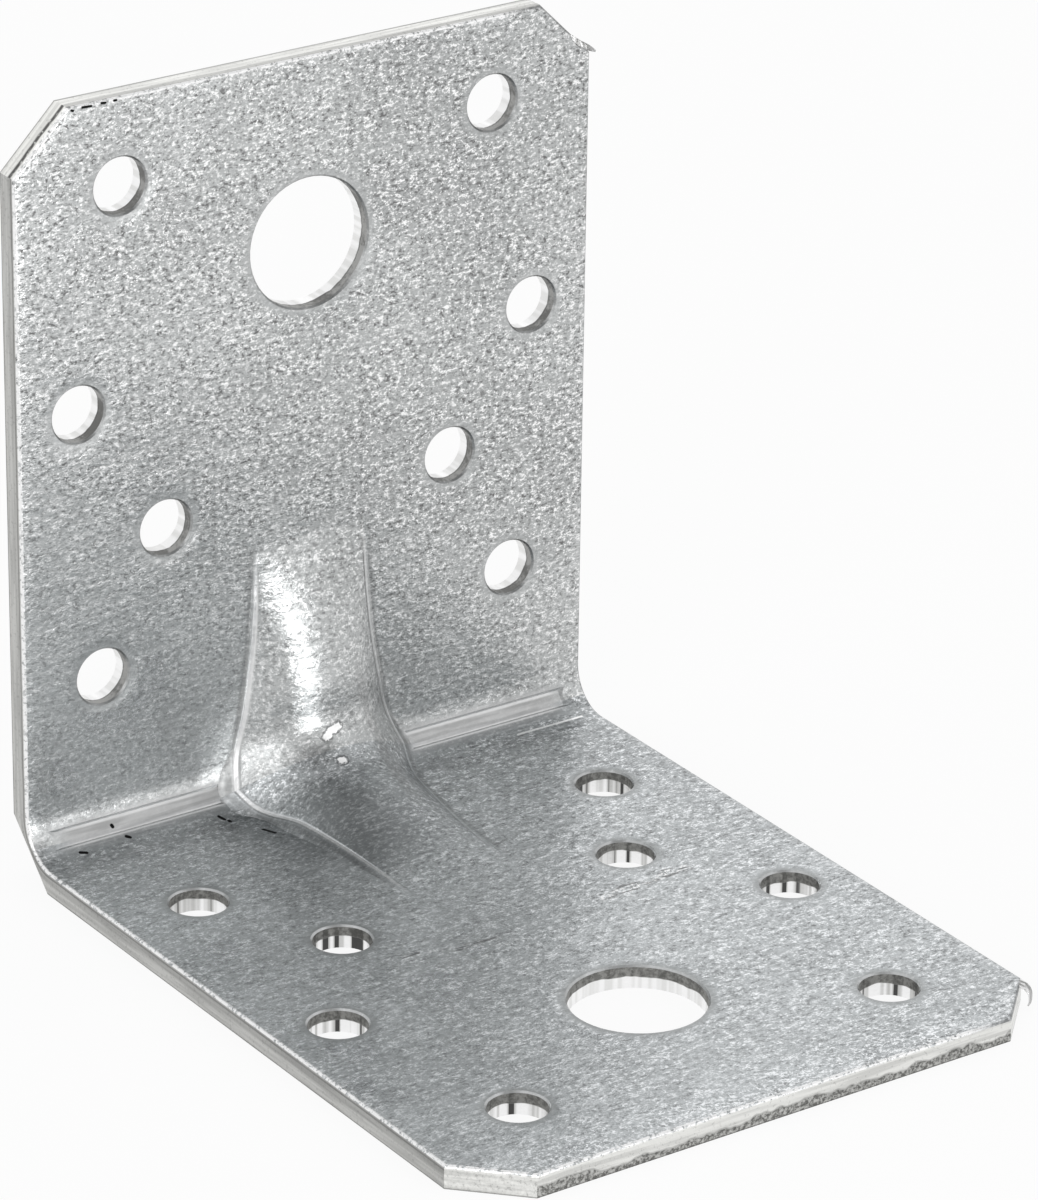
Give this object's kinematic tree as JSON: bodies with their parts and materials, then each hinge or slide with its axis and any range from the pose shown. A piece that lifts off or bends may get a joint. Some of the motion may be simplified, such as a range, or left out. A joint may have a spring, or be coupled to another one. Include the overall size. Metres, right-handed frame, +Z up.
{
  "type": "reinforcing angle",
  "caption": "Folded galvanised steel angle bracket with cut free corners, nail and bolt holes in both legs and a stiffening rib pressed across the fold.",
  "frame": {"origin": "middle of the floor of the outer box, under the foot", "axes": "+X along the fold, +Y towards the back leg's outer side, +Z up; the foot rests on Z = 0"},
  "size_m": [0.055, 0.068, 0.066],
  "materials": {
    "zinc_steel": "matt hot-dip zinc on steel sheet with fine sparkle, bare burnished strip in the fold"
  },
  "bodies": {
    "root": {"angle_plate": "zinc_steel"}
  },
  "joints": []
}
